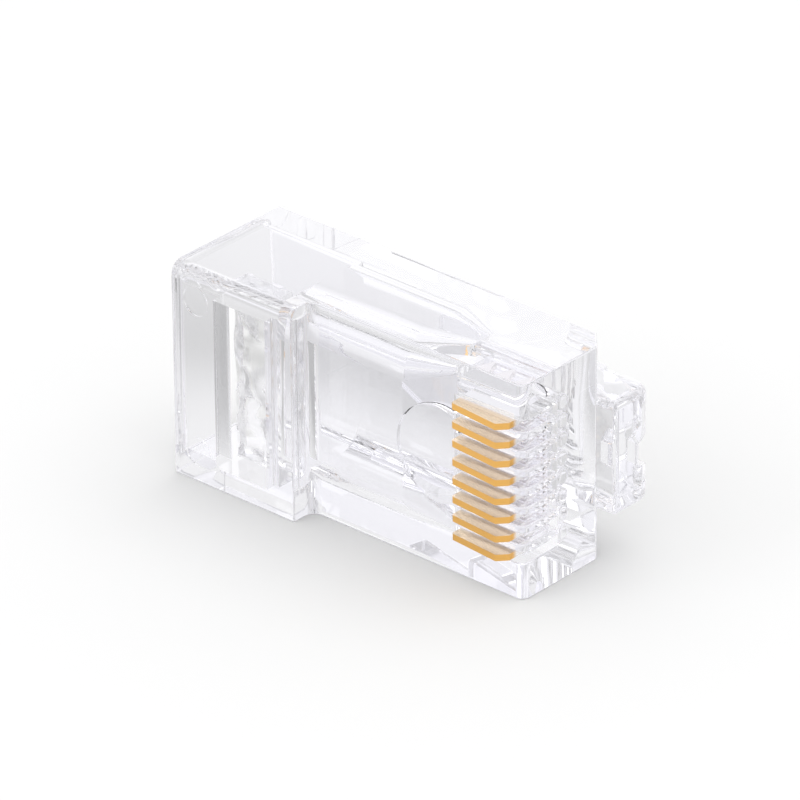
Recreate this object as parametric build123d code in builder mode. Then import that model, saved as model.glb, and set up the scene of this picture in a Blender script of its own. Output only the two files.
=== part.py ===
from build123d import *
import os
from math import cos, radians, sin

# Eight-way modular plug for round data cable, before it is crimped.
# It stands on one narrow side. +X runs from the cable entry to the nose, -Y is the
# contact side, +Y is the latch side and +Z goes up across the row of contacts.
# The origin is on the side it stands on, half way along the body and between the
# contact face and the latch face. All sizes are in millimetres.

# Body
body_length = 21.46
body_width = 11.68
nose_height = 6.5
heel_rise = 1.4
heel_length = 7.9
heel_step_fillet = 0.6
heel_edge_radius = 0.7
nose_contact_radius = 0.5
nose_slope_height = 1.08
nose_slope_length = 0.97
nose_slope_radius = 0.5
body_edge_radius = 0.1
base_edge_radius = 0.08

# Cable cavity: jacket chamber, bore with round corners, wedge funnel
side_wall = 1.2
latch_wall = 1.0
heel_wall = 1.15
heel_front_wall = 1.45
chamber_corner_radius = 0.6
bore_height = 4.55
bore_corner_radius = 1.45
funnel_length = 2.9
funnel_throat = 1.4
funnel_throat_radius = 0.4
relief_radius = 2.6
relief_centre_lead = 0.6
relief_cover = 0.75
relief_end_wall = 0.25
mouth_flare = 0.35

# Wire channels
wire_bore = 0.94
wire_row_depth = 3.2
wire_lead = 1.0
nose_wall = 0.86

# Contacts
contact_count = 8
contact_pitch = 1.02
blade_thickness = 0.35
blade_length = 3.45
blade_setback = 0.71
blade_rear_stand = 0.45
blade_crest_stand = 0.7
blade_chamfer_length = 0.46
blade_chamfer_drop = 0.5
blade_shoulder_depth = 0.9
blade_corner_radius = 0.12
tine_count = 3
tine_length = 1.35
tine_gap = 0.12
crimp_stroke = 1.1

# Contact slots
blade_clearance = 0.05
slot_floor_gap = 0.15
spring_slot_width = 0.6
spring_slot_depth = 0.85
spring_slot_lead = 0.2
nose_slot_depth = 2.5
rib_tip_radius = 0.1

# Strain relief window and bar
window_setback = 2.76
window_length = 3.39
bar_front_gap = 0.2
bar_height = 1.15
bar_recess = 0.2
bar_end_gap = 0.12
bar_root_gap = 0.05
bar_web_thickness = 0.4
bar_knuckle_radius = 0.4
bar_nose_radius = 0.35

# Round marks of the ejector pins beside the window
ejector_mark_diameter = 1.6
ejector_mark_depth = 0.08
ejector_mark_setback = 1.6
ejector_mark_inset = 1.65

# Latch, and the block on the nose that it springs from
latch_width = 6.17
block_reach = 1.2
block_length = 3.16
block_rise = 1.7
block_root = 1.15
block_corner_radius = 0.9
block_edge_radius = 0.2
block_rim_radius = 0.4
notch_width = 1.15
notch_mouth_width = 2.1
notch_depth = 1.15
notch_length = 1.6
notch_offset = 0.3
gate_mark_diameter = 1.0
gate_mark_depth = 0.1
gate_mark_rise = 1.3
gate_mark_drop = 1.2
arm_thickness = 1.0
arm_rise_angle = 13.0
arm_shoulder_setback = 8.0
tongue_width = 3.25
tongue_setback = 13.0
tongue_tip_radius = 0.45
shoulder_radius = 0.3
arm_edge_radius = 0.12
knuckle_clearance = 0.03
edge_reach = 0.01

# Planes and lines that the pieces share
x_rear = -body_length / 2
x_nose = body_length / 2
x_step = x_rear + heel_length
x_bore = x_step - heel_front_wall
y_contact = -nose_height / 2
y_latch = nose_height / 2
y_heel = y_contact - heel_rise
y_chamber = y_heel + heel_wall
y_cavity_latch = y_latch - latch_wall
y_wires = y_contact + wire_row_depth
z_mid = body_width / 2
cavity_width = body_width - 2 * side_wall

x_blade_front = x_nose - blade_setback
x_blade_rear = x_blade_front - blade_length
x_wires = x_blade_rear - wire_lead
x_funnel = x_wires - funnel_length
y_shoulder = y_contact + blade_shoulder_depth
y_tine_tip = y_shoulder + tine_length
z_first_contact = z_mid + (contact_count - 1) * contact_pitch / 2
row_reach = contact_count * contact_pitch / 2

x_window = x_rear + window_setback
x_bar = x_window + bar_root_gap
bar_length = window_length - bar_root_gap - bar_front_gap
y_bar = y_chamber + bar_recess
y_bar_hinge = y_chamber - bar_knuckle_radius
bar_width = cavity_width - 2 * bar_end_gap

x_block_front = x_nose + block_reach
x_block_rear = x_block_front - block_length
y_block = y_latch + block_rise
y_latch_hinge = y_block - arm_thickness / 2
z_latch = z_mid - latch_width / 2
z_notch = z_mid - notch_offset

os.makedirs("parts", exist_ok=True)

# Housing: one clear moulding
with BuildPart() as housing:
    # side outline, the heel thicker than the nose
    with BuildSketch(Plane.XY):
        with BuildLine():
            Polyline(
                (x_rear, y_heel),
                (x_step, y_heel),
                (x_step, y_contact),
                (x_nose, y_contact),
                (x_nose, y_latch - nose_slope_height),
                (x_nose - nose_slope_length, y_latch),
                (x_rear, y_latch),
                close=True,
            )
        make_face()
    extrude(amount=body_width)

    # the long top corner of the heel, then the step and the three corners of the nose
    heel_corner = housing.edges().filter_by(Axis.X).group_by(Axis.Y)[0].sort_by(Axis.Z)[-1]
    fillet(heel_corner, heel_edge_radius)
    upright = housing.edges().filter_by(Axis.Z)
    step_corner = upright.group_by(Axis.X)[1].sort_by(Axis.Y)[-1]
    fillet(step_corner, heel_step_fillet)
    upright = housing.edges().filter_by(Axis.Z)
    fillet(upright.group_by(Axis.X)[-1].sort_by(Axis.Y)[0], nose_contact_radius)
    upright = housing.edges().filter_by(Axis.Z)
    slope_corners = upright.group_by(Axis.X)[-1] + upright.group_by(Axis.X)[-2]
    fillet(slope_corners.filter_by_position(Axis.Y, 0, y_latch), nose_slope_radius)

    # small radius on every edge that is still sharp
    top_outline = housing.edges().group_by(Axis.Z)[-1]
    y_heel_top = y_heel + heel_edge_radius
    sharp_top = top_outline.filter_by_position(Axis.Y, y_heel_top, y_latch, inclusive=(False, True))
    upright = housing.edges().filter_by(Axis.Z)
    heel_uprights = upright.group_by(Axis.Y)[0]
    latch_upright = upright.group_by(Axis.X)[0].sort_by(Axis.Y)[-1]
    fillet(sharp_top + heel_uprights + [latch_upright], body_edge_radius)
    fillet(housing.edges().group_by(Axis.Z)[0], base_edge_radius)

    # block that the latch springs from, on the upper part of the nose
    with BuildSketch(Plane.XY.offset(z_latch)):
        with BuildLine():
            FilletPolyline(
                (x_block_rear, y_latch - block_root),
                (x_block_front, y_latch - block_root),
                (x_block_front, y_block),
                (x_block_rear, y_block),
                radius=[0, block_edge_radius, block_corner_radius, 0],
                close=True,
            )
        make_face()
    extrude(amount=latch_width)

    # rounded rims round the upper and lower faces of the block
    lower_rim = housing.edges().filter_by_position(Axis.Z, z_latch - edge_reach, z_latch + edge_reach)
    upper_rim = housing.edges().filter_by_position(
        Axis.Z, z_latch + latch_width - edge_reach, z_latch + latch_width + edge_reach
    )
    free_rims = (lower_rim + upper_rim).filter_by(
        lambda edge: edge.center().X > x_nose + edge_reach
        or (edge.center().Y > y_latch + edge_reach and edge.center().X > x_block_rear + edge_reach)
    )
    fillet(free_rims, block_rim_radius)

    # notch in the outer face of the block, open at the front
    with BuildSketch(Plane.YZ.offset(x_block_front - notch_length)):
        with BuildLine():
            Polyline(
                (y_block - notch_depth, z_notch - notch_width / 2),
                (y_block, z_notch - notch_mouth_width / 2),
                (y_block, z_notch + notch_mouth_width / 2),
                (y_block - notch_depth, z_notch + notch_width / 2),
                close=True,
            )
        make_face()
    extrude(amount=notch_length, mode=Mode.SUBTRACT)

    # round mark of the moulding gate on the front of the block
    with BuildSketch(Plane.YZ.offset(x_block_front)):
        with Locations((y_latch - block_root + gate_mark_drop, z_mid + gate_mark_rise)):
            Circle(gate_mark_diameter / 2)
    extrude(amount=-gate_mark_depth, mode=Mode.SUBTRACT)

    # round seat for the root of the latch in the back of the block
    with BuildSketch(Plane.XY.offset(z_latch)):
        with Locations((x_block_rear, y_latch_hinge)):
            Circle(arm_thickness / 2 + knuckle_clearance)
    extrude(amount=latch_width, mode=Mode.SUBTRACT)

    # jacket chamber, open at the rear face
    with BuildSketch(Plane.YZ.offset(x_rear)):
        with BuildLine():
            FilletPolyline(
                (y_chamber, z_mid - cavity_width / 2),
                (y_cavity_latch, z_mid - cavity_width / 2),
                (y_cavity_latch, z_mid + cavity_width / 2),
                (y_chamber, z_mid + cavity_width / 2),
                radius=[0, chamber_corner_radius, chamber_corner_radius, 0],
                close=True,
            )
        make_face()
    extrude(amount=x_bore - x_rear, mode=Mode.SUBTRACT)
    mouth = housing.faces().sort_by(Axis.X)[0].inner_wires()[0]
    chamfer(mouth.edges(), mouth_flare)

    # bore for the conductors
    with BuildSketch(Plane.YZ.offset(x_bore)):
        with Locations((y_cavity_latch - bore_height / 2, z_mid)):
            RectangleRounded(bore_height, cavity_width, bore_corner_radius)
    extrude(amount=x_funnel - x_bore, mode=Mode.SUBTRACT)

    # wedge that gathers the conductors into one row
    with BuildSketch(Plane.YZ.offset(x_funnel)):
        with Locations((y_cavity_latch - bore_height / 2, z_mid)):
            RectangleRounded(bore_height, cavity_width, bore_corner_radius)
    with BuildSketch(Plane.YZ.offset(x_wires)):
        with Locations((y_wires, z_mid)):
            RectangleRounded(funnel_throat, cavity_width, funnel_throat_radius)
    loft(mode=Mode.SUBTRACT)

    # half round relief over the wedge, under the contact face
    relief_end = x_blade_rear - spring_slot_lead - relief_end_wall
    with BuildSketch(Plane.XZ.offset(-(y_contact + relief_cover))):
        with Locations((x_wires - relief_centre_lead, z_mid)):
            Circle(relief_radius)
        with Locations((relief_end, z_mid)):
            Rectangle(
                body_length, body_width, align=(Align.MIN, Align.CENTER), mode=Mode.SUBTRACT
            )
    extrude(amount=relief_cover - wire_row_depth, mode=Mode.SUBTRACT)

    # one blind channel for each conductor
    with BuildSketch(Plane.YZ.offset(x_wires)):
        with Locations((y_wires, z_mid)):
            with GridLocations(contact_pitch, contact_pitch, 1, contact_count):
                Circle(wire_bore / 2)
    extrude(amount=x_nose - nose_wall - x_wires, mode=Mode.SUBTRACT)

    # deep slots that hold the blades
    slot_floor = y_tine_tip + crimp_stroke + slot_floor_gap
    with BuildSketch(Plane.XZ.offset(-slot_floor)):
        with Locations(((x_blade_front + x_blade_rear) / 2, z_mid)):
            with GridLocations(contact_pitch, contact_pitch, 1, contact_count):
                Rectangle(blade_length + 2 * blade_clearance, blade_thickness + blade_clearance)
    extrude(amount=slot_floor - y_contact, mode=Mode.SUBTRACT)

    # wider slots above them, where the springs of the jack run in over the nose
    spring_slot_length = x_nose - (x_blade_rear - spring_slot_lead)
    with BuildSketch(Plane.XZ.offset(-(y_contact + spring_slot_depth))):
        with Locations((x_nose - spring_slot_length / 2, z_mid)):
            with GridLocations(contact_pitch, contact_pitch, 1, contact_count):
                Rectangle(spring_slot_length, spring_slot_width)
    extrude(amount=spring_slot_depth, mode=Mode.SUBTRACT)

    # the same slots run down the nose between its ribs
    nose_slot_length = blade_setback - blade_clearance
    with BuildSketch(Plane.XZ.offset(-(y_contact + nose_slot_depth))):
        with Locations((x_nose - nose_slot_length / 2, z_mid)):
            with GridLocations(contact_pitch, contact_pitch, 1, contact_count):
                Rectangle(nose_slot_length, spring_slot_width)
    extrude(amount=nose_slot_depth, mode=Mode.SUBTRACT)

    # soft edges on the ribs between the slots
    rib_edges = (
        housing.edges()
        .filter_by(Axis.Y)
        .filter_by_position(Axis.X, x_nose - rib_tip_radius, x_nose + rib_tip_radius)
        .filter_by_position(Axis.Z, z_mid - row_reach, z_mid + row_reach)
    )
    fillet(rib_edges, rib_tip_radius)

    # strain relief window in the heel
    with BuildSketch(Plane.XZ.offset(-y_chamber)):
        with Locations((x_window + window_length / 2, z_mid)):
            Rectangle(window_length, cavity_width)
    extrude(amount=heel_wall, mode=Mode.SUBTRACT)

    # seat for the knuckle of the bar in the rear edge of the window
    with BuildSketch(Plane.XY.offset(side_wall)):
        with Locations((x_window, y_bar_hinge)):
            Circle(bar_knuckle_radius + knuckle_clearance)
    extrude(amount=cavity_width, mode=Mode.SUBTRACT)

    # two round ejector marks on the heel
    with BuildSketch(Plane.XZ.offset(-y_heel)):
        with Locations((x_rear + ejector_mark_setback, z_mid)):
            with GridLocations(contact_pitch, body_width - 2 * ejector_mark_inset, 1, 2):
                Circle(ejector_mark_diameter / 2)
    extrude(amount=-ejector_mark_depth, mode=Mode.SUBTRACT)
housing.part.label = "housing"
export_step(housing.part, "parts/housing.step")


# Latch: wide arm with two locking shoulders, then a narrow finger tongue
arm_direction = Vector(-cos(radians(arm_rise_angle)), sin(radians(arm_rise_angle)), 0)
arm_outward = Vector(sin(radians(arm_rise_angle)), cos(radians(arm_rise_angle)), 0)
arm_plan = Plane(
    origin=(x_block_rear, y_latch_hinge, z_mid), x_dir=arm_direction, z_dir=arm_outward
)
shoulder_reach = (arm_shoulder_setback + block_reach - block_length) / cos(radians(arm_rise_angle))
tongue_reach = (tongue_setback + block_reach - block_length) / cos(radians(arm_rise_angle))
with BuildPart() as latch:
    with BuildSketch(arm_plan):
        with BuildLine():
            FilletPolyline(
                (0, -latch_width / 2),
                (shoulder_reach, -latch_width / 2),
                (shoulder_reach, -tongue_width / 2),
                (tongue_reach, -tongue_width / 2),
                (tongue_reach, tongue_width / 2),
                (shoulder_reach, tongue_width / 2),
                (shoulder_reach, latch_width / 2),
                (0, latch_width / 2),
                radius=[
                    0,
                    shoulder_radius,
                    shoulder_radius,
                    tongue_tip_radius,
                    tongue_tip_radius,
                    shoulder_radius,
                    shoulder_radius,
                    0,
                ],
                close=True,
            )
        make_face()
    extrude(amount=arm_thickness / 2, both=True)
    outline = latch.faces().filter_by(arm_plan).edges()
    free_outline = outline.filter_by_position(Axis.X, -body_length, x_block_rear - arm_thickness)
    fillet(free_outline, arm_edge_radius)

    # round root that turns in the seat of the block
    with BuildSketch(Plane.XY.offset(z_latch)):
        with Locations((x_block_rear, y_latch_hinge)):
            Circle(arm_thickness / 2)
    extrude(amount=latch_width)
latch.part.label = "latch"
export_step(latch.part, "parts/latch.step")


# Strain relief bar: swings into the chamber and grips the cable jacket
with BuildPart() as strain_relief_bar:
    with BuildSketch(Plane.XY.offset(z_mid - bar_width / 2)):
        with Locations((x_window, y_bar_hinge)):
            Circle(bar_knuckle_radius)
        with BuildLine():
            FilletPolyline(
                (x_bar, y_bar_hinge),
                (x_bar + bar_web_thickness, y_bar_hinge),
                (x_bar + bar_web_thickness, y_bar),
                (x_bar + bar_length, y_bar),
                (x_bar + bar_length, y_bar + bar_height),
                (x_bar, y_bar + bar_height),
                radius=[0, 0, 0, 0, bar_nose_radius, 0],
                close=True,
            )
        make_face()
    extrude(amount=bar_width)
strain_relief_bar.part.label = "strain_relief_bar"
export_step(strain_relief_bar.part, "parts/strain_relief_bar.step")


# Contacts: flat blades with tines that pierce the conductors
tine_pitch = (blade_length + tine_gap) / tine_count
tine_width = tine_pitch - tine_gap
for number in range(contact_count):
    z_contact = z_first_contact - number * contact_pitch
    with BuildPart() as contact:
        with BuildSketch(Plane.XY.offset(z_contact - blade_thickness / 2)):
            with BuildLine():
                FilletPolyline(
                    (x_blade_rear, y_contact - blade_rear_stand),
                    (x_blade_front - blade_chamfer_length, y_contact - blade_crest_stand),
                    (x_blade_front, y_contact - blade_crest_stand + blade_chamfer_drop),
                    (x_blade_front, y_shoulder),
                    (x_blade_rear, y_shoulder),
                    radius=[blade_corner_radius, blade_corner_radius, blade_corner_radius, 0, 0],
                    close=True,
                )
            make_face()
            for tine in range(tine_count):
                x_tine = x_blade_rear + tine * tine_pitch
                with BuildLine():
                    Polyline(
                        (x_tine, y_shoulder),
                        (x_tine + tine_width / 2, y_tine_tip),
                        (x_tine + tine_width, y_shoulder),
                        close=True,
                    )
                make_face()
        extrude(amount=blade_thickness)
    contact.part.label = f"contact_{number + 1}"
    export_step(contact.part, f"parts/{contact.part.label}.step")
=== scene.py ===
import math

import bmesh
import bpy
from mathutils import Matrix, Vector, noise


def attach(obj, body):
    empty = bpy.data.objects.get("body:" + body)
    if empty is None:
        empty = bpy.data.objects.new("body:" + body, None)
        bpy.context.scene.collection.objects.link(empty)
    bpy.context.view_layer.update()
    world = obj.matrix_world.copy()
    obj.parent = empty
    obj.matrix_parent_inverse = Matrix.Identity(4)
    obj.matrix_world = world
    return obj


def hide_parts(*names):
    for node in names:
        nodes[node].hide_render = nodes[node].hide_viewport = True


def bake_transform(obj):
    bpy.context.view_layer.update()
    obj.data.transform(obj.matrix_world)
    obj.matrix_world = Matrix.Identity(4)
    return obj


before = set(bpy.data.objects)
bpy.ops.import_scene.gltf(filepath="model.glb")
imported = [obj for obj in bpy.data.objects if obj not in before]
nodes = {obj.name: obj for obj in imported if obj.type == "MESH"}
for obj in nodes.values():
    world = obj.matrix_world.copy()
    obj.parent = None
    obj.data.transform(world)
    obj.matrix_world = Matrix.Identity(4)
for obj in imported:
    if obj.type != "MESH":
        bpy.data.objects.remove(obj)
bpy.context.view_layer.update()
scene = bpy.context.scene


# Helpers for node trees

def addNode(tree, kind, **settings):
    made = tree.nodes.new(kind)
    for name, value in settings.items():
        setattr(made, name, value)
    return made


def setInputs(node, values):
    for name, value in values.items():
        node.inputs[name].default_value = value


def makeMaterial(name):
    made = bpy.data.materials.new(name)
    made.use_nodes = True
    tree = made.node_tree
    tree.nodes.clear()
    shader = addNode(tree, "ShaderNodeBsdfPrincipled")
    output = addNode(tree, "ShaderNodeOutputMaterial")
    tree.links.new(shader.outputs["BSDF"], output.inputs["Surface"])
    return made, tree, shader


def fillRamp(ramp, stops):
    ramp.color_ramp.interpolation = "EASE"
    elements = ramp.color_ramp.elements
    while len(elements) > 1:
        elements.remove(elements[0])
    for count, (position, colour) in enumerate(stops):
        element = elements[0] if count == 0 else elements.new(position)
        element.position = position
        element.color = colour


# Node group: soft waves of a moulded skin, as a normal

def makeWaveGroup():
    group = bpy.data.node_groups.new("mouldedSkin", "ShaderNodeTree")
    face = group.interface
    for name in ("Scale", "Depth", "Strength", "Detail"):
        face.new_socket(name, in_out="INPUT", socket_type="NodeSocketFloat")
    face.new_socket("Normal", in_out="OUTPUT", socket_type="NodeSocketVector")
    entry = group.nodes.new("NodeGroupInput")
    leave = group.nodes.new("NodeGroupOutput")
    place = group.nodes.new("ShaderNodeTexCoord")
    pattern = group.nodes.new("ShaderNodeTexNoise")
    bump = group.nodes.new("ShaderNodeBump")
    group.links.new(place.outputs["Object"], pattern.inputs["Vector"])
    group.links.new(entry.outputs["Scale"], pattern.inputs["Scale"])
    group.links.new(entry.outputs["Detail"], pattern.inputs["Detail"])
    group.links.new(pattern.outputs["Fac"], bump.inputs["Height"])
    group.links.new(entry.outputs["Strength"], bump.inputs["Strength"])
    group.links.new(entry.outputs["Depth"], bump.inputs["Distance"])
    group.links.new(bump.outputs["Normal"], leave.inputs["Normal"])
    return group


waveGroup = makeWaveGroup()


def makePlastic(name, values):
    made, tree, shader = makeMaterial(name)
    shader.inputs["Base Color"].default_value = values["colour"]
    shader.inputs["IOR"].default_value = values["ior"]
    shader.inputs["Roughness"].default_value = values["roughness"]
    shader.inputs["Transmission Weight"].default_value = 1.0
    waves = addNode(tree, "ShaderNodeGroup", node_tree=waveGroup)
    setInputs(waves, values["waves"])
    tree.links.new(waves.outputs["Normal"], shader.inputs["Normal"])
    return made


# Clear plastic of the moulding

clearValues = {
    "colour": (0.974, 0.972, 0.992, 1.0),
    "ior": 1.585,
    "roughness": 0.015,
    "waves": {"Scale": 500.0, "Depth": 0.00001, "Strength": 0.05, "Detail": 1.0},
}

clearPlastic = makePlastic("clearPlastic", clearValues)

# Plastic of the bar: a little rougher, with stronger waves

barValues = {
    "colour": (1.0, 1.0, 1.0, 1.0),
    "ior": 1.585,
    "roughness": 0.12,
    "waves": {"Scale": 900.0, "Depth": 0.0002, "Strength": 0.15, "Detail": 1.0},
}

barPlastic = makePlastic("barPlastic", barValues)

# Contacts: amber gold on the edges of the blade; its two flat sides get a painted sheen, a
# pale tan standing in for the bright room they reflect; paler still on the deep part with the
# tines

goldValues = {
    "edge": (0.85, 0.48, 0.135, 1.0),
    "side": (1.0, 0.82, 0.6, 1.0),
    # painted sheen: the flat sides are coloured lighter than the gold of the edges
    "deep": (0.95, 0.93, 0.91, 1.0),
    "sideSheenRange": {"From Min": 0.5, "From Max": 0.8},
    "deepRange": {"From Min": -0.0032, "From Max": -0.0029},
    "roughness": 0.25,
    "bevel": 0.00005,
    "bevelSegments": 2,
}

goldPlate, goldTree, goldShader = makeMaterial("goldPlate")
goldFacing = addNode(goldTree, "ShaderNodeNewGeometry")
facingSplit = addNode(goldTree, "ShaderNodeSeparateXYZ")
facingSize = addNode(goldTree, "ShaderNodeMath", operation="ABSOLUTE")
# painted sheen: faces turned along Z take the lighter side colour
sideSheenMask = addNode(goldTree, "ShaderNodeMapRange")
setInputs(sideSheenMask, goldValues["sideSheenRange"])
goldPlace = addNode(goldTree, "ShaderNodeTexCoord")
placeSplit = addNode(goldTree, "ShaderNodeSeparateXYZ")
deepMask = addNode(goldTree, "ShaderNodeMapRange")
setInputs(deepMask, goldValues["deepRange"])
sideSheenMix = addNode(goldTree, "ShaderNodeMix", data_type="RGBA")
sideSheenMix.inputs["A"].default_value = goldValues["edge"]
sideSheenMix.inputs["B"].default_value = goldValues["side"]
deepMix = addNode(goldTree, "ShaderNodeMix", data_type="RGBA")
deepMix.inputs["B"].default_value = goldValues["deep"]
goldTree.links.new(goldFacing.outputs["Normal"], facingSplit.inputs["Vector"])
goldTree.links.new(facingSplit.outputs["Z"], facingSize.inputs[0])
goldTree.links.new(facingSize.outputs["Value"], sideSheenMask.inputs["Value"])
goldTree.links.new(sideSheenMask.outputs["Result"], sideSheenMix.inputs["Factor"])
goldTree.links.new(goldPlace.outputs["Object"], placeSplit.inputs["Vector"])
goldTree.links.new(placeSplit.outputs["Y"], deepMask.inputs["Value"])
goldTree.links.new(deepMask.outputs["Result"], deepMix.inputs["Factor"])
goldTree.links.new(sideSheenMix.outputs["Result"], deepMix.inputs["A"])
goldTree.links.new(deepMix.outputs["Result"], goldShader.inputs["Base Color"])
goldShader.inputs["Metallic"].default_value = 1.0
goldShader.inputs["Roughness"].default_value = goldValues["roughness"]
print("plastics and gold mixed")

# Clear moulding: housing, latch and both filled seats as one solid, parted at the arm's root

mouldingValues = {
    "merge": 1e-7,
    "touch": 1e-6,
    "cutSnap": 1e-8,
    "latchSeat": ((0.00877, 0.00391, 0.002755), (0.00931, 0.00495, 0.008925)),
    "barSeat": ((-0.00841, -0.00434, 0.0011), (-0.00797, -0.0035, 0.01058)),
    "armBase": 0.0035,
    "armLoops": (0.0004, 0.0008, 0.0013, 0.0019, 0.0026),
    "bendStart": (0.00877, 0.00445, 0.00584),
    "bendEnd": (0.00617, 0.00505, 0.00584),
    "rim": 0.0004,
    "rimSegments": 8,
    "sharp": 35.0,  # degrees
    "flat": 0.004,  # radians
    "weight": 100,
}


def makePiece(name, form):
    mesh = bpy.data.meshes.new(name)
    form.to_mesh(mesh)
    form.free()
    made = bpy.data.objects.new(name, mesh)
    scene.collection.objects.link(made)
    return made


def copySolid(name, source):
    form = bmesh.new()
    form.from_mesh(source.data)
    bmesh.ops.remove_doubles(form, verts=form.verts, dist=mouldingValues["merge"])
    return makePiece(name, form)


def makeBox(name, low, high):
    form = bmesh.new()
    bmesh.ops.create_cube(form, size=1.0)
    for vertex in form.verts:
        vertex.co = Vector(
            end if part > 0 else start for part, start, end in zip(vertex.co, low, high)
        )
    return makePiece(name, form)


def roundEdge(piece, y, z):
    form = bmesh.new()
    form.from_mesh(piece.data)
    spots = [
        vertex
        for vertex in form.verts
        if abs(vertex.co.y - y) < mouldingValues["touch"]
        and abs(vertex.co.z - z) < mouldingValues["touch"]
    ]
    bmesh.ops.bevel(
        form,
        geom=[edge for edge in form.edges if all(vertex in spots for vertex in edge.verts)],
        affect="EDGES",
        offset=mouldingValues["rim"],
        offset_type="OFFSET",
        segments=mouldingValues["rimSegments"],
        profile=0.5,
        material=-1,
    )
    form.to_mesh(piece.data)
    form.free()


def roundBlock(piece):
    low, high = mouldingValues["latchSeat"]
    for height in (low[2], high[2]):
        roundEdge(piece, high[1], height)
    return piece


def uniteSolids(first, others):
    for other in others:
        step = first.modifiers.new("unite", "BOOLEAN")
        step.operation = "UNION"
        step.solver = "EXACT"
        step.object = other
    graph = bpy.context.evaluated_depsgraph_get()
    mesh = bpy.data.meshes.new_from_object(first.evaluated_get(graph))
    for piece in [first] + others:
        bpy.data.objects.remove(piece)
    return mesh


def finishSurface(piece, material):
    piece.data.shade_smooth()
    piece.data.set_sharp_from_angle(angle=math.radians(mouldingValues["sharp"]))
    weighted = piece.modifiers.new("weighted", "WEIGHTED_NORMAL")
    weighted.keep_sharp = True
    weighted.weight = mouldingValues["weight"]
    piece.data.materials.clear()
    piece.data.materials.append(material)


def takeFaces(name, source, keep):
    form = bmesh.new()
    form.from_mesh(source)
    drop = [face for face in form.faces if not keep(face)]
    bmesh.ops.delete(form, geom=drop, context="FACES")
    return makePiece(name, form)


wholeMesh = uniteSolids(
    copySolid("wholeHousing", nodes["housing"]),
    [
        copySolid("wholeLatch", nodes["latch"]),
        roundBlock(makeBox("latchSeat", *mouldingValues["latchSeat"])),
        makeBox("barSeat", *mouldingValues["barSeat"]),
    ],
)
wholeForm = bmesh.new()
wholeForm.from_mesh(wholeMesh)
bmesh.ops.remove_doubles(wholeForm, verts=wholeForm.verts, dist=mouldingValues["merge"])
bmesh.ops.dissolve_limit(
    wholeForm,
    angle_limit=mouldingValues["flat"],
    verts=wholeForm.verts,
    edges=wholeForm.edges,
)


def onArm(face):
    centre = face.calc_center_median()
    rootAt = mouldingValues["bendStart"][0]
    return centre.x < rootAt and centre.y > mouldingValues["armBase"]


# The arm is parted at its root, with a few loops cut beyond it along the arm
armRoot = Vector(mouldingValues["bendStart"])
armWay = (Vector(mouldingValues["bendEnd"]) - armRoot).normalized()
cuts = [(armRoot, Vector((-1.0, 0.0, 0.0)))]
cuts += [(armRoot + armWay * reach, armWay) for reach in mouldingValues["armLoops"]]
for spot, normal in cuts:
    latchSide = [
        face
        for face in wholeForm.faces
        if face.calc_center_median().y > mouldingValues["armBase"]
    ]
    cutThrough = set(latchSide)
    for face in latchSide:
        cutThrough.update(face.edges)
        cutThrough.update(face.verts)
    bmesh.ops.bisect_plane(
        wholeForm,
        geom=list(cutThrough),
        dist=mouldingValues["cutSnap"],
        plane_co=spot,
        plane_no=normal,
    )
wholeForm.to_mesh(wholeMesh)
looseEdges = sum(1 for edge in wholeForm.edges if not edge.is_manifold)
wholeForm.free()

moulding = takeFaces("moulding", wholeMesh, lambda face: not onArm(face))
latchArm = takeFaces("latchArm", wholeMesh, onArm)
bpy.data.meshes.remove(wholeMesh)
for piece in (moulding, latchArm):
    finishSurface(piece, clearPlastic)
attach(moulding, "housing")
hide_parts("housing")
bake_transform(latchArm)
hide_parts("latch")
print("moulding made", len(moulding.data.polygons), len(latchArm.data.polygons), looseEdges)

# Bar: a block with a rippled skin, which stays inside the plain one

rippleValues = {
    "low": (-0.00792, -0.0033, 0.00132),
    "high": (-0.00478, -0.00215, 0.01036),
    "cuts": 24,
    "wave": 0.0013,
    "depth": (0.00022, 0.0004, 0.0001),
    "noiseReach": 0.6,
    "axisStep": 7.0,
    "sideStep": 3.0,
    "touch": 1e-7,
}


def pushAt(place, axis):
    values = rippleValues
    middle = 0.5 * (values["low"][axis] + values["high"][axis])
    sample = place / values["wave"]
    sample[axis] = values["axisStep"] * axis
    if place[axis] > middle:
        sample[axis] += values["sideStep"]
    depth = values["depth"][axis]
    push = depth * (0.5 + 0.5 * noise.noise(sample) / values["noiseReach"])
    return min(max(push, 0.0), depth)


def rippleBox(name):
    values = rippleValues
    made = makeBox(name, values["low"], values["high"])
    form = bmesh.new()
    form.from_mesh(made.data)
    bmesh.ops.subdivide_edges(
        form, edges=form.edges[:], cuts=values["cuts"], use_grid_fill=True
    )
    for vertex in form.verts:
        place = vertex.co.copy()
        for axis in range(3):
            if abs(place[axis] - values["low"][axis]) < values["touch"]:
                vertex.co[axis] += pushAt(place, axis)
            elif abs(place[axis] - values["high"][axis]) < values["touch"]:
                vertex.co[axis] -= pushAt(place, axis)
    form.to_mesh(made.data)
    form.free()
    return made


reliefBar = rippleBox("reliefBar")
finishSurface(reliefBar, barPlastic)
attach(reliefBar, "strain_relief_bar")
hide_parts("strain_relief_bar")
print("bar made", len(reliefBar.data.polygons))

# Contacts: the CAD blades with their edges eased

for name, piece in nodes.items():
    if name.startswith("contact_"):
        piece.data.materials.clear()
        piece.data.materials.append(goldPlate)
        edges = piece.modifiers.new("edges", "BEVEL")
        edges.width = goldValues["bevel"]
        edges.segments = goldValues["bevelSegments"]
        edges.limit_method = "ANGLE"
    elif not piece.data.materials:
        piece.data.materials.append(clearPlastic)
print("contacts dressed")

# Floor: a pale disc that fades out at its rim

floorValues = {
    "radius": 0.09,
    "fade": 0.05,
    "cover": 0.85,
    "segments": 96,
    "drop": 0.00002,
    "colour": (0.96, 0.96, 0.96, 1.0),
    "roughness": 0.7,
}

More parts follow.
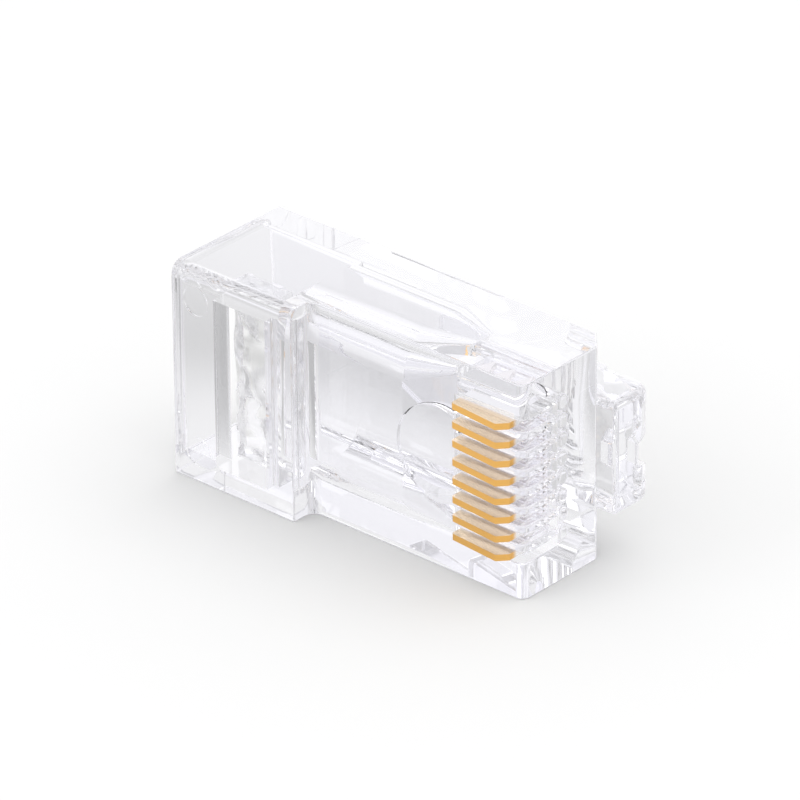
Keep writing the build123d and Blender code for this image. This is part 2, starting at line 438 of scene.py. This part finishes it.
floorMesh = bpy.data.meshes.new("floor")
floorForm = bmesh.new()
bmesh.ops.create_circle(
    floorForm, cap_ends=True, segments=floorValues["segments"], radius=floorValues["radius"]
)
for vertex in floorForm.verts:
    vertex.co.z = -floorValues["drop"]
floorForm.to_mesh(floorMesh)
floorForm.free()
floor = bpy.data.objects.new("floor", floorMesh)
scene.collection.objects.link(floor)
floorPaint, floorTree, floorShader = makeMaterial("floorPaint")
floorShader.inputs["Base Color"].default_value = floorValues["colour"]
floorShader.inputs["Roughness"].default_value = floorValues["roughness"]
floorShader.inputs["Specular IOR Level"].default_value = 0.0
floorPlace = addNode(floorTree, "ShaderNodeTexCoord")
floorReach = addNode(floorTree, "ShaderNodeVectorMath", operation="LENGTH")
fade = addNode(floorTree, "ShaderNodeMapRange", interpolation_type="SMOOTHSTEP")
fade.inputs["From Min"].default_value = floorValues["fade"]
fade.inputs["From Max"].default_value = floorValues["radius"]
fade.inputs["To Min"].default_value = floorValues["cover"]
fade.inputs["To Max"].default_value = 0.0
floorTree.links.new(floorPlace.outputs["Object"], floorReach.inputs[0])
floorTree.links.new(floorReach.outputs["Value"], fade.inputs["Value"])
floorTree.links.new(fade.outputs["Result"], floorShader.inputs["Alpha"])

# Through the clear plastic the floor shows a painted glow instead of its lit colour: pale
# under the object, a painted grey ring of shade around it, pale far off, and painted shade a
# little darker on the near side

seenValues = {
    "squeeze": (0.5, 1.0, 1.0),
    "reach": 0.06,
    "shadeGreys": (
        (0.0, 0.92),
        (0.006, 0.92),
        (0.012, 0.66),
        (0.018, 0.74),
        (0.028, 0.94),
        (0.05, 1.0),
    ),
    "nearSide": {"From Min": -0.014, "From Max": -0.004, "To Min": 0.66, "To Max": 1.0},
    "share": 0.95,
}

seenPlace = addNode(floorTree, "ShaderNodeVectorMath", operation="MULTIPLY")
seenPlace.inputs[1].default_value = seenValues["squeeze"]
seenReach = addNode(floorTree, "ShaderNodeVectorMath", operation="LENGTH")
seenRange = addNode(floorTree, "ShaderNodeMapRange")
seenRange.inputs["From Max"].default_value = seenValues["reach"]
paintedShadeRamp = addNode(floorTree, "ShaderNodeValToRGB")
fillRamp(
    paintedShadeRamp,
    [
        (distance / seenValues["reach"], (grey, grey, grey, 1.0))
        for distance, grey in seenValues["shadeGreys"]
    ],
)
seenSplit = addNode(floorTree, "ShaderNodeSeparateXYZ")
# painted shade: the glow dims towards the near side
seenSide = addNode(floorTree, "ShaderNodeMapRange")
setInputs(seenSide, seenValues["nearSide"])
# painted glow: the floor emits these greys as light for transmission rays
paintedFloorGlow = addNode(floorTree, "ShaderNodeEmission")
seenShare = addNode(floorTree, "ShaderNodeMath", operation="MULTIPLY")
seenShare.inputs[1].default_value = seenValues["share"]
floorPath = addNode(floorTree, "ShaderNodeLightPath")
floorMix = addNode(floorTree, "ShaderNodeMixShader")
floorOut = floorTree.nodes["Material Output"]
floorTree.links.new(floorPlace.outputs["Object"], seenPlace.inputs[0])
floorTree.links.new(seenPlace.outputs["Vector"], seenReach.inputs[0])
floorTree.links.new(seenReach.outputs["Value"], seenRange.inputs["Value"])
floorTree.links.new(seenRange.outputs["Result"], paintedShadeRamp.inputs["Fac"])
floorTree.links.new(paintedShadeRamp.outputs["Color"], paintedFloorGlow.inputs["Color"])
floorTree.links.new(floorPlace.outputs["Object"], seenSplit.inputs["Vector"])
floorTree.links.new(seenSplit.outputs["Y"], seenSide.inputs["Value"])
floorTree.links.new(seenSide.outputs["Result"], paintedFloorGlow.inputs["Strength"])
floorTree.links.new(floorPath.outputs["Is Transmission Ray"], seenShare.inputs[0])
floorTree.links.new(seenShare.outputs["Value"], floorMix.inputs["Fac"])
floorTree.links.new(floorShader.outputs["BSDF"], floorMix.inputs[1])
floorTree.links.new(paintedFloorGlow.outputs["Emission"], floorMix.inputs[2])
floorTree.links.new(floorMix.outputs["Shader"], floorOut.inputs["Surface"])
floorMesh.materials.append(floorPaint)
print("floor laid")

# World: plain light on the object, white behind it, and a soft grey room for the clear
# plastic and the gold to show, palest overhead and darker on the near side. Reflections also
# show a softbox behind the object, and the plastic shows the room behind it dimmer.

worldValues = {
    "light": 0.84,
    "heights": (
        (-1.0, 0.6),
        (-0.34, 0.66),
        (-0.2, 0.86),
        (0.0, 0.93),
        (0.3, 0.88),
        (0.6, 1.0),
    ),
    "room": 1.6,
    "tint": (0.97, 0.966, 1.0),
    "nearSide": (0.586, -0.656, 0.476),
    "nearRange": {"From Min": 0.0, "From Max": 0.8},
    "nearShare": 0.62,
    "boxSide": (-0.586, 0.656, 0.476),
    "boxRange": {"From Min": 0.78, "From Max": 0.93, "To Max": 0.45},
    "through": 0.63,
}

world = bpy.data.worlds.new("studio")
scene.world = world
world.use_nodes = True
worldTree = world.node_tree
worldTree.nodes.clear()
direction = addNode(worldTree, "ShaderNodeTexCoord")


def addSideRange(side, values):
    towards = addNode(worldTree, "ShaderNodeVectorMath", operation="DOT_PRODUCT")
    towards.inputs[1].default_value = side
    made = addNode(worldTree, "ShaderNodeMapRange", interpolation_type="SMOOTHSTEP")
    setInputs(made, values)
    worldTree.links.new(direction.outputs["Generated"], towards.inputs[0])
    worldTree.links.new(towards.outputs["Value"], made.inputs["Value"])
    return made


directionSplit = addNode(worldTree, "ShaderNodeSeparateXYZ")
height = addNode(worldTree, "ShaderNodeMapRange")
height.inputs["From Min"].default_value = -1.0
height.inputs["From Max"].default_value = 1.0
ramp = addNode(worldTree, "ShaderNodeValToRGB")
fillRamp(
    ramp,
    [
        ((level + 1.0) / 2.0, tuple(grey * share for share in worldValues["tint"]) + (1.0,))
        for level, grey in worldValues["heights"]
    ],
)
nearRange = addSideRange(worldValues["nearSide"], worldValues["nearRange"])
nearRange.inputs["To Min"].default_value = worldValues["room"]
nearRange.inputs["To Max"].default_value = worldValues["room"] * worldValues["nearShare"]
boxRange = addSideRange(worldValues["boxSide"], worldValues["boxRange"])
roomLight = addNode(worldTree, "ShaderNodeMath", operation="ADD")
worldTree.links.new(direction.outputs["Generated"], directionSplit.inputs["Vector"])
worldTree.links.new(directionSplit.outputs["Z"], height.inputs["Value"])
worldTree.links.new(height.outputs["Result"], ramp.inputs["Fac"])
worldTree.links.new(nearRange.outputs["Result"], roomLight.inputs[0])
worldTree.links.new(boxRange.outputs["Result"], roomLight.inputs[1])

path = addNode(worldTree, "ShaderNodeLightPath")
through = addNode(worldTree, "ShaderNodeMix", data_type="FLOAT")
seenRoom = addNode(worldTree, "ShaderNodeMath", operation="MULTIPLY")
seenRoom.inputs[1].default_value = worldValues["through"]
worldTree.links.new(nearRange.outputs["Result"], seenRoom.inputs[0])
worldTree.links.new(path.outputs["Is Transmission Ray"], through.inputs["Factor"])
worldTree.links.new(roomLight.outputs["Value"], through.inputs["A"])
worldTree.links.new(seenRoom.outputs["Value"], through.inputs["B"])

plain = addNode(worldTree, "ShaderNodeBackground")
plain.inputs["Strength"].default_value = worldValues["light"]
room = addNode(worldTree, "ShaderNodeBackground")
worldTree.links.new(ramp.outputs["Color"], room.inputs["Color"])
worldTree.links.new(through.outputs["Result"], room.inputs["Strength"])
white = addNode(worldTree, "ShaderNodeBackground")
for background in (plain, white):
    background.inputs["Color"].default_value = (1.0, 1.0, 1.0, 1.0)
shown = addNode(worldTree, "ShaderNodeMath", operation="MAXIMUM")
roomMix = addNode(worldTree, "ShaderNodeMixShader")
cameraMix = addNode(worldTree, "ShaderNodeMixShader")
worldOut = addNode(worldTree, "ShaderNodeOutputWorld")
worldTree.links.new(path.outputs["Is Glossy Ray"], shown.inputs[0])
worldTree.links.new(path.outputs["Is Transmission Ray"], shown.inputs[1])
worldTree.links.new(shown.outputs["Value"], roomMix.inputs["Fac"])
worldTree.links.new(plain.outputs["Background"], roomMix.inputs[1])
worldTree.links.new(room.outputs["Background"], roomMix.inputs[2])
worldTree.links.new(path.outputs["Is Camera Ray"], cameraMix.inputs["Fac"])
worldTree.links.new(roomMix.outputs["Shader"], cameraMix.inputs[1])
worldTree.links.new(white.outputs["Background"], cameraMix.inputs[2])
worldTree.links.new(cameraMix.outputs["Shader"], worldOut.inputs["Surface"])
print("world lit")

# Lamps

lampValues = {
    "key": {"place": (0.04, 0.06, 0.24), "size": 0.24, "power": 0.14},
    "fill": {"place": (-0.12, -0.2, 0.16), "size": 0.16, "power": 0.08},
}
lampAim = Vector((0.0, 0.0, 0.006))  # half the height of the object

for name, values in lampValues.items():
    lamp = bpy.data.lights.new(name, "AREA")
    lamp.shape = "DISK"
    lamp.size = values["size"]
    lamp.energy = values["power"]
    lampObject = bpy.data.objects.new(name, lamp)
    lampObject.location = values["place"]
    toward = lampAim - Vector(values["place"])
    lampObject.rotation_euler = toward.to_track_quat("-Z", "Y").to_euler()
    scene.collection.objects.link(lampObject)
print("lamps hung", len(lampValues))

# Camera at the photograph's place

cameraValues = {
    "place": (0.241897, -0.270953, 0.202254),
    "right": (0.748894, 0.662640, -0.008148),
    "up": (-0.309794, 0.360936, 0.879632),
    "back": (0.585820, -0.656227, 0.475585),
    "lens": 382.316,
    "sensor": 36.0,
    "clip": (0.01, 10.0),
}

cameraData = bpy.data.cameras.new("camera")
cameraData.lens = cameraValues["lens"]
cameraData.sensor_width = cameraValues["sensor"]
cameraData.clip_start, cameraData.clip_end = cameraValues["clip"]
camera = bpy.data.objects.new("camera", cameraData)
columns = [Vector(cameraValues[key]) for key in ("right", "up", "back")]
turn = Matrix(columns).transposed().to_4x4()
camera.matrix_world = Matrix.Translation(Vector(cameraValues["place"])) @ turn
scene.collection.objects.link(camera)
scene.camera = camera
scene.view_settings.view_transform = "Standard"
print("camera placed")

# Light takes many turns inside clear plastic

bounceValues = {"all": 64, "transmission": 64, "glossy": 32}

scene.cycles.max_bounces = bounceValues["all"]
scene.cycles.transmission_bounces = bounceValues["transmission"]
scene.cycles.glossy_bounces = bounceValues["glossy"]

print("scene ready")
